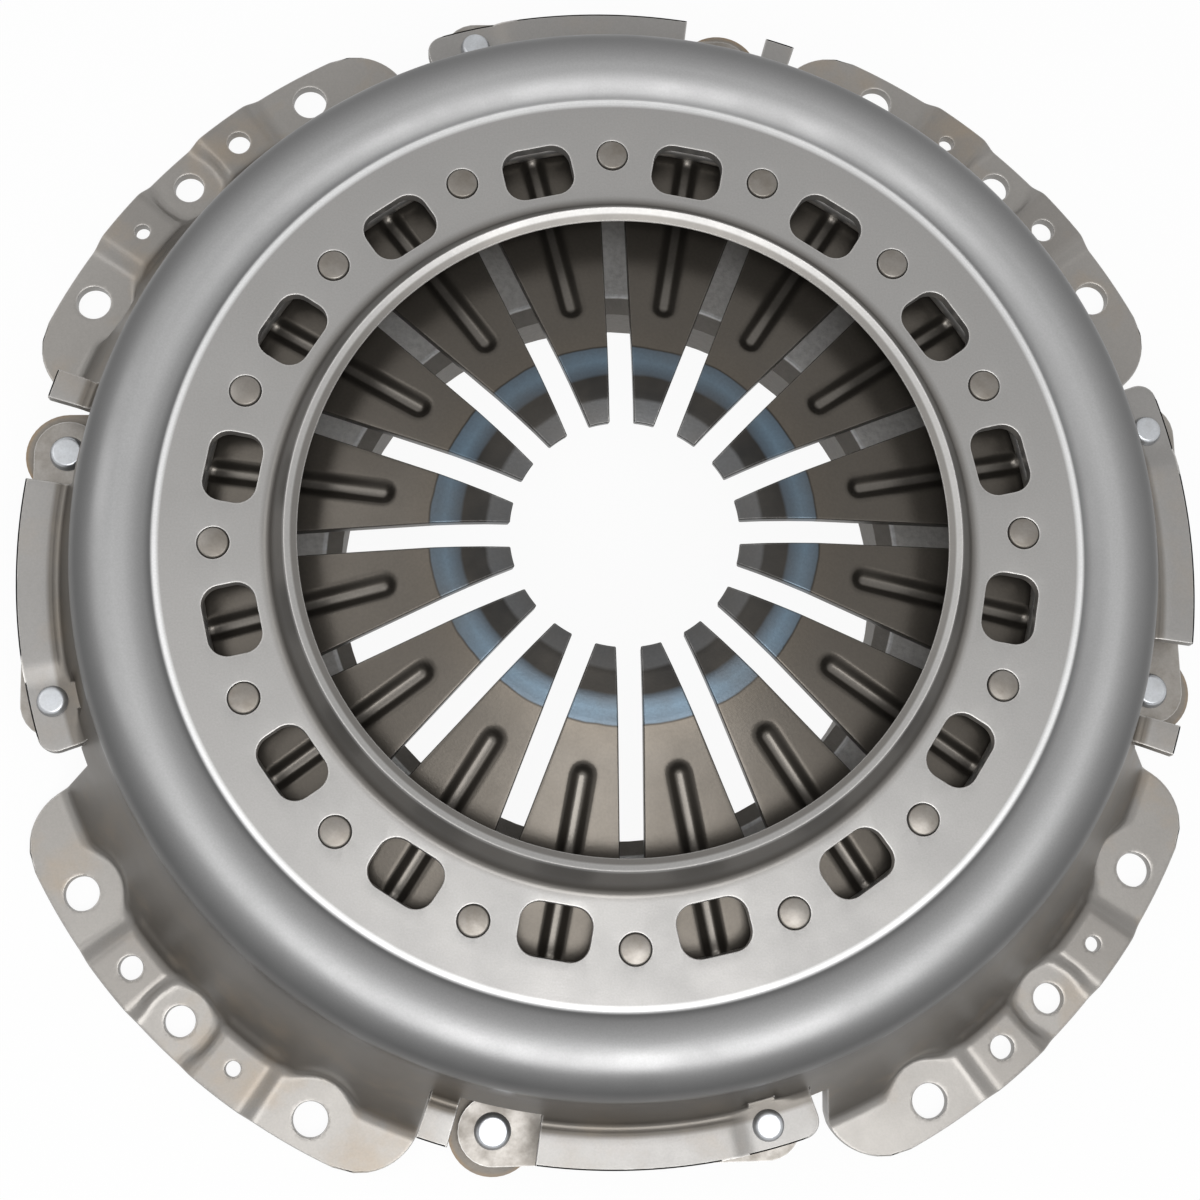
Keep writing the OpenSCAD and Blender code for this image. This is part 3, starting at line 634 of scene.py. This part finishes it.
def punch(bm, holes, cleared, levels):
    """Clears flat faces round some holes and fills the place again, up to the holes' rims."""
    rims = []
    for level in levels:
        flat = [f for f in bm.faces if all(abs(v.co.z / MM - level) < 0.02 for v in f.verts)
                and cleared(f.calc_center_median())]
        inside = set(flat)
        on_border = (e for f in flat for e in f.edges if sum(g in inside for g in e.link_faces) == 1)
        border = list(dict.fromkeys(on_border))
        up = flat[0].normal.z
        bmesh.ops.delete(bm, geom=flat, context="FACES")
        rim = [loop_at(bm, level, hole) for hole in holes]
        filled = bmesh.ops.triangle_fill(bm, use_beauty=True, normal=(0, 0, 1 if up > 0 else -1),
                                         edges=border + [e for loop in rim for e in loop])
        new = [g for g in filled["geom"] if isinstance(g, bmesh.types.BMFace)]
        bmesh.ops.reverse_faces(bm, faces=[f for f in new if f.normal.z * up < 0])
        rims.append(rim)
    for top, bottom in zip(*rims):
        bmesh.ops.bridge_loops(bm, edges=top + bottom)


def circle_hole(radius, at_r, at_degrees, segments=40):
    def make(bm, level):
        a = math.radians(at_degrees)
        spot = Vector((at_r * math.cos(a), at_r * math.sin(a), level)) * MM
        bmesh.ops.create_circle(bm, cap_ends=False, radius=radius * MM, segments=segments,
                                matrix=Matrix.Translation(spot))
    return make


def window_hole(at_r, at_degrees, deep=18.0, wide=24.0, corner=6.5):
    def make(bm, level):
        new = bmesh.new()
        x, y = deep / 2 * MM, wide / 2 * MM
        corners = [new.verts.new((u, v, 0)) for u, v in ((-x, -y), (x, -y), (x, y), (-x, y))]
        for one, two in zip(corners, corners[1:] + corners[:1]):
            new.edges.new((one, two))
        for c in corners:
            bmesh.ops.bevel(new, geom=[c], offset=corner * MM, offset_type="OFFSET", segments=8, profile=0.5,
                            affect="VERTICES", material=-1)
        bmesh.ops.translate(new, verts=new.verts, vec=(at_r * MM, 0, level * MM))
        turn_all(new, at_degrees)
        outline = bpy.data.meshes.new("window")
        new.to_mesh(outline)
        new.free()
        bm.from_mesh(outline)
        bpy.data.meshes.remove(outline)
    return make


def near(at_r, at_degrees, radius):
    a = math.radians(at_degrees)
    spot = Vector((at_r * math.cos(a), at_r * math.sin(a), 0)) * MM
    return lambda c: math.hypot(c.x - spot.x, c.y - spot.y) < radius * MM


LUG_HOLES = ((-BOLTS_AT, 6.25, 0), (BOLTS_AT, 6.25, 0), (0, 5.5, 0),
             (-BRIDGE_HOLES_AT, 4.25, BRIDGE_RISE), (BRIDGE_HOLES_AT, 2.75, BRIDGE_RISE))
for lug in range(4):
    for offset, radius, lift in LUG_HOLES:
        turn = 45 + 90 * lug + offset
        punch(skin, [circle_hole(radius, BOLT_R, turn)], near(BOLT_R, turn, radius + 1.6),
              (SHEET + lift, lift))
WINDOW_R, EYE_R = 133.2, 137.0
windows = [window_hole(WINDOW_R, PITCH * (k + 0.5)) for k in range(FINGERS)]
rivet_holes = [circle_hole(5.4, EYE_R, PITCH * k, 32) for k in range(FINGERS)]
punch(skin, windows + rivet_holes, lambda c: FLAT_IN < math.hypot(c.x, c.y) / MM < FLAT_OUT,
      (RING_Z, RING_Z - SHEET))
print("faces of the cover", len(skin.faces))

# %% [markdown]
# A sheared or punched edge is never quite sharp either, because the tool rolls it over a little. Half a
# millimetre on every sharp edge of the cover catches the light as the real ones do.

# %% Soften the cover's edges
bmesh.ops.recalc_face_normals(skin, faces=skin.faces)
as_piece(skin, "cover_sheet", COVER_BODY, "cover_steel", ["cover"], soften=0.5)

# %% [markdown]
# ## The diaphragm spring
# One conical sheet, slit into sixteen fingers. Each slot ends in a round eye, so that no crack starts
# there, and each finger has a groove pressed down its middle, which stiffens it. One finger is spun as a
# sector and its columns of points are then pulled in to the slot's edge. Sixteen copies make the sheet.

# %% Sizes of the spring
SPRING_T, CONE = 4.2, math.radians(13)
FULCRUM_R, SPRING_Z = 144.55, 66.87
RIM_R, TIP_R, TIP_BEND, TIP_STEP = 177.0, 38.5, 64.5, 8.5
SLOT, EYE, GROOVE_DEEP = 8.2, 6.5, 2.8
GROOVE_TO, GROOVE_TO_BELOW = 140.0, 136.0
ACROSS, GROOVE_COLUMNS = 14, 9


def spring_top(radius):
    return SPRING_Z + (FULCRUM_R - radius) * math.tan(CONE) + SPRING_T / 2 / math.cos(CONE)


def finger_edge(radius):
    """Angle from a finger's middle to its edge at this radius, in degrees."""
    slot = math.degrees(math.asin(SLOT / 2 / radius)) if radius < EYE_R else 0
    c = (radius ** 2 + EYE_R ** 2 - EYE ** 2) / (2 * radius * EYE_R)
    return PITCH / 2 - max(slot, math.degrees(math.acos(c)) if c < 1 else 0)


print("a finger is", round(2 * finger_edge(100), 2), "degrees wide at radius 100, and its slots", SLOT, "mm")

# %% Spin one finger and cut it to shape
bend_z = spring_top(TIP_BEND)
step_z = bend_z + TIP_STEP * math.tan(math.radians(5))
end_z = step_z - (TIP_BEND - 2 * TIP_STEP - TIP_R + 2) * math.tan(math.radians(6))
round_the_eye = (140.9, 128, 114, 102, 90, 76, 62, 48, 36, 25, 15, 7, 0)
rows = [70, 74, 75.5, 76.5, 77.5, 78.5, 79.5, 80.8, 82.2, 85, 90, 97, 104, 111, 118, 124, 128.5, 130.6] + \
    [EYE_R + EYE * math.cos(math.radians(a)) for a in round_the_eye] + [145.5, 150, 158, 167, 173.5]
finger = bent_section([(TIP_R, end_z, 0), (43, end_z + 4.5 * 0.14, 0), (TIP_BEND - 2 * TIP_STEP, step_z, 20),
                       (TIP_BEND - TIP_STEP, step_z, 20), (TIP_BEND, bend_z, 20)] +
                      [(r, spring_top(r), 0) for r in sorted(rows)] + [(RIM_R, spring_top(RIM_R), 0)], 3.0)
turn_all(finger, -PITCH / 2)
spin_on(finger, list(finger.verts) + list(finger.edges), [(PITCH, 2 * ACROSS)])
for v in finger.verts:
    r, a, z = polar(v)
    column = abs(a) / (PITCH / 2) * ACROSS
    edge = finger_edge(r)
    half = r * math.sin(math.radians(edge))
    middle = min(6.4, 0.6 * half)
    if column <= GROOVE_COLUMNS:
        y = middle * column / GROOVE_COLUMNS
    else:
        y = middle + (half - middle) * (column - GROOVE_COLUMNS) / (ACROSS - GROOVE_COLUMNS)
    angle = math.degrees(math.asin(min(1, y / r))) if column < ACROSS - 0.01 else edge
    put(v, r, math.copysign(angle, a), z)
print("one finger:", len(finger.faces), "faces")

# %% [markdown]
# The copies could come from an Array modifier, but the grooves are pressed into both faces of the finished
# sheet, so the copies are spun, merged at their seams and made thick first. Below, a groove stops a little
# nearer the axis, so that the sheet stays clear of the lower wire ring.

# %% Make sixteen of it, give the sheet its thickness, and press the grooves
turn_all(finger, PITCH / 2)
bmesh.ops.spin(finger, geom=list(finger.verts) + list(finger.edges) + list(finger.faces), cent=(0, 0, 0),
               axis=(0, 0, 1), angle=math.radians(360 - PITCH), steps=FINGERS - 1, use_duplicate=True)
bmesh.ops.remove_doubles(finger, verts=finger.verts, dist=2e-6)
bmesh.ops.recalc_face_normals(finger, faces=finger.faces)
if sum(f.normal.z for f in finger.faces) < 0:
    bmesh.ops.reverse_faces(finger, faces=finger.faces)
bmesh.ops.solidify(finger, geom=list(finger.faces), thickness=SPRING_T * MM)
for v in finger.verts:
    r, a, z = polar(v)
    if 74 < r < 146:
        off = (a - PITCH / 2) - PITCH * round((a - PITCH / 2) / PITCH)
        x, y = r * math.cos(math.radians(off)), r * math.sin(math.radians(off))
        upper = z > spring_top(r) - SPRING_T / 2
        along = max(GROOVE_FROM - x, 0, x - (GROOVE_TO if upper else GROOVE_TO_BELOW))
        v.co.z -= GROOVE_DEEP * MM * (1 - smooth(math.hypot(along, y), 0.8, 4.8))
spring = as_piece(finger, "diaphragm_sheet", COVER_BODY, "spring_steel", ["diaphragm_spring"], soften=0.45,
                  flat_angle=50)
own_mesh(spring)

# %% [markdown]
# ## Rivets
# A rivet is a turned pin whose end is upset by the press. Each one here is a section spun round its own
# axis and copied round the clutch. Their heads are plain, low domes.

# %% Turn a rivet and copy it round the clutch
def lathe(path, x, y, name, body, slot, nodes, copies, steps=40):
    """path holds (radius, height, bend radius) from the lower pole to the upper one."""
    bm = bent_section(path, 18)
    bmesh.ops.spin(bm, geom=list(bm.verts) + list(bm.edges), cent=(0, 0, 0), axis=(0, 0, 1), angle=math.tau,
                   steps=steps, use_merge=True)
    bmesh.ops.remove_doubles(bm, verts=bm.verts, dist=1e-6)
    bmesh.ops.recalc_face_normals(bm, faces=bm.faces)
    bmesh.ops.translate(bm, verts=bm.verts, vec=(x * MM, y * MM, 0))
    bmesh.ops.spin(bm, geom=list(bm.verts) + list(bm.edges) + list(bm.faces), cent=(0, 0, 0), axis=(0, 0, 1),
                   angle=math.tau * (copies - 1) / copies, steps=copies - 1, use_duplicate=True)
    return as_piece(bm, name, body, slot, nodes, flat_angle=35)


COLLAR_Z = 58.37
lathe([(0, COLLAR_Z - 3.9, 0), (10, COLLAR_Z - 3.9, 0.8), (10, COLLAR_Z, 0.6), (4.6, COLLAR_Z, 0),
       (4.6, 75, 0), (3.9, 75, 0), (3.9, 79.2, 0), (5.2, 79.2, 0.1), (5.2, 80.6, 0.7), (0, 81.3, 0)],
      EYE_R, 0, "fulcrum_pins", COVER_BODY, "rivet_steel", ["fulcrum_rivets"], FINGERS)
HEAD, LEAVES_LOW, LEAVES_HIGH, EAR_Z, EAR_T = 2.8, 20.0, 33.0, 19.7, 12.2
lathe([(0, LEAVES_HIGH - HEAD, 0), (6.2, LEAVES_HIGH - HEAD, 1.0), (7.5, LEAVES_HIGH, 0.5),
       (4.5, LEAVES_HIGH, 0), (4.5, PAD_Z, 0), (5.5, PAD_Z, 0.2), (4.6, PAD_Z + HEAD, 1.4),
       (0, PAD_Z + HEAD, 0)],
      STRAP_X, STRAP_Y, "strap_pins_at_cover", COVER_BODY, "rivet_zinc", ["strap_cover_rivets"], 4)
ear_foot, pack_top = EAR_Z - EAR_T, LEAVES_LOW + 3
lathe([(0, ear_foot - HEAD, 0), (6.2, ear_foot - HEAD, 1.0), (7.5, ear_foot, 0.5), (5.0, ear_foot, 0),
       (5.0, pack_top, 0), (6.5, pack_top, 0.2), (5.4, pack_top + HEAD, 1.4), (0, pack_top + HEAD, 0)],
      STRAP_X, -STRAP_Y, "strap_pins_at_plate", PLATE_BODY, "rivet_zinc", ["strap_plate_rivets"], 4)

# %% [markdown]
# ## The drive straps
# Four packs of three thin spring leaves pull the plate round with the cover and lift it when the clutch is
# freed. A leaf is a flat strip with rounded ends, bent into a shallow S. It is a grid whose points are
# pulled to the round ends and to the bend, and then gets its thickness and its two rivet holes. The leaves
# of a pack lie 0.02 mm apart. A leaf bends when the plate moves, which a rigid ride can't show, so each
# leaf is given a mesh of its own.

# %% Bend the leaves
LEAF_W, LEAF_T, FLAT = 24.0, 1.0, 14.0
LEAF_STEEL = 0.98 * LEAF_T


def bend_leaf(strap, leaf):
    low, high = LEAVES_LOW + leaf * LEAF_T, LEAVES_HIGH + leaf * LEAF_T
    bm = bmesh.new()
    bmesh.ops.create_grid(bm, x_segments=12, y_segments=64, size=0.5)
    for v in bm.verts:
        along = v.co.y * (2 * STRAP_Y + LEAF_W)
        past = abs(along) - STRAP_Y
        half = LEAF_W / 2
        if past > 0:
            past = half * math.sin(past / half * math.pi / 2)
            along = math.copysign(STRAP_Y + past, along)
            half = math.sqrt(max(0.0, half ** 2 - past ** 2))
        rise = smooth(along, FLAT - STRAP_Y, STRAP_Y - FLAT)
        v.co = Vector((STRAP_X + 2 * v.co.x * half, along, low + (high - low) * rise)) * MM
    bmesh.ops.remove_doubles(bm, verts=bm.verts, dist=1e-6)
    bmesh.ops.recalc_face_normals(bm, faces=bm.faces)
    if sum(f.normal.z for f in bm.faces) > 0:
        bmesh.ops.reverse_faces(bm, faces=bm.faces)
    bmesh.ops.solidify(bm, geom=list(bm.faces), thickness=LEAF_STEEL * MM)
    for degrees, level, radius in ((STRAP_HOLE_ANGLE, high, 4.7), (-STRAP_HOLE_ANGLE, low, 5.2)):
        punch(bm, [circle_hole(radius, STRAP_HOLE_R, degrees, 32)], near(STRAP_HOLE_R, degrees, radius + 2.2),
              (level + LEAF_STEEL, level))
    turn_all(bm, 90 * (strap - 1))
    piece = as_piece(bm, f"leaf_{strap}_{leaf + 1}", COVER_BODY, "strap_steel",
                     [f"strap_{strap}_leaf_{leaf + 1}"])
    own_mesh(piece)


for strap in range(1, 5):
    for leaf in range(3):
        bend_leaf(strap, leaf)

# %% [markdown]
# ## The studio
# The photograph was taken from almost straight above, under soft light, and shows the part on plain white.
# The camera stands where a fit to the rings, lugs and holes of the photograph put it. The floor is pale and
# keeps a trace of the part's shadow. Rays from the camera, from shine and through glass meet mostly white
# there, while the light that falls on the part is only the world's and the lamps', so the steel keeps the
# tones written in its finishes.

# %% Floor and world
FLOOR_WHITE, WORLD_LIGHT, FLOOR_Z = 0.94, 0.42, -0.0005


def white_to(tree, ray):
    """1 for rays that should meet the white background: from the camera, from shine and through glass."""
    seen = ray.outputs["Is Camera Ray"]
    for kind in ("Is Glossy Ray", "Is Transmission Ray"):
        either = tree.nodes.new("ShaderNodeMath")
        either.operation = "MAXIMUM"
        tree.links.new(seen, either.inputs[0])
        tree.links.new(ray.outputs[kind], either.inputs[1])
        seen = either.outputs[0]
    return seen


bpy.ops.mesh.primitive_plane_add(size=6, location=(0, 0, FLOOR_Z))
floor = bpy.context.object
floor.name = "floor"
paint = bpy.data.materials.new("floor_paint")
paint.use_nodes = True
tree = paint.node_tree
matt = tree.nodes["Principled BSDF"]
matt.inputs["Base Color"].default_value = (0.8, 0.8, 0.8, 1)
matt.inputs["Roughness"].default_value = 0.9
glow, mixer, ray = (tree.nodes.new(kind) for kind in ("ShaderNodeEmission", "ShaderNodeMixShader",
                                                      "ShaderNodeLightPath"))
glow.inputs["Color"].default_value = (1, 1, 1, 1)
share = tree.nodes.new("ShaderNodeMath")
share.operation = "MULTIPLY"
share.inputs[1].default_value = FLOOR_WHITE
tree.links.new(white_to(tree, ray), share.inputs[0])
tree.links.new(share.outputs[0], mixer.inputs[0])
tree.links.new(matt.outputs["BSDF"], mixer.inputs[1])
tree.links.new(glow.outputs["Emission"], mixer.inputs[2])
tree.links.new(mixer.outputs["Shader"], tree.nodes["Material Output"].inputs["Surface"])
floor.data.materials.append(paint)

world = bpy.data.worlds.new("studio")
world.use_nodes = True
bpy.context.scene.world = world
tree = world.node_tree
soft = tree.nodes["Background"]
soft.inputs["Color"].default_value = (1, 1, 1, 1)
soft.inputs["Strength"].default_value = WORLD_LIGHT
white, mixer, ray = (tree.nodes.new(kind) for kind in ("ShaderNodeBackground", "ShaderNodeMixShader",
                                                       "ShaderNodeLightPath"))
tree.links.new(white_to(tree, ray), mixer.inputs[0])
tree.links.new(soft.outputs["Background"], mixer.inputs[1])
tree.links.new(white.outputs["Background"], mixer.inputs[2])
white.inputs["Color"].default_value = (1, 1, 1, 1)
tree.links.new(mixer.outputs["Shader"], tree.nodes["World Output"].inputs["Surface"])
print("floor white", FLOOR_WHITE, "and world light", WORLD_LIGHT)

# %% [markdown]
# The fit gave a lens of 64 mm from 0.8 m, which draws the near side of the rings a little larger, as in the
# photograph. Two soft lamps, a strong one above the front and a weak one at the left, leave the front of
# the cover paler than its far side.

# %% Camera and lamps
camera_data = bpy.data.cameras.new("camera")
camera_data.lens, camera_data.sensor_width = 64.16, 36.0
camera = bpy.data.objects.new("camera", camera_data)
bpy.context.scene.collection.objects.link(camera)
right, up, back = Vector((0.99756, -0.02659, 0.06462)), Vector((0.01348, 0.98061, 0.19551)), \
    Vector((-0.06857, -0.19416, 0.97857))
camera.matrix_world = Matrix.Translation((-0.05759, -0.16024, 0.78051)) @ \
    Matrix((right, up, back)).transposed().to_4x4()
bpy.context.scene.camera = camera
LAMPS = (("ceiling", (0.05, -0.50, 1.30), 0.9, 13), ("window", (-0.85, 0.25, 1.05), 0.7, 2.5))
for name, spot, size, power in LAMPS:
    lamp_data = bpy.data.lights.new(name, "AREA")
    lamp_data.size, lamp_data.energy = size, power
    lamp = bpy.data.objects.new(name, lamp_data)
    lamp.location = spot
    lamp.rotation_euler = (Vector((0, 0, 0.05)) - Vector(spot)).to_track_quat("-Z", "Y").to_euler()
    bpy.context.scene.collection.objects.link(lamp)
bpy.context.scene.view_settings.view_transform = "Standard"
print("camera", round(camera.matrix_world.translation.length, 3), "m from the flywheel face's middle")
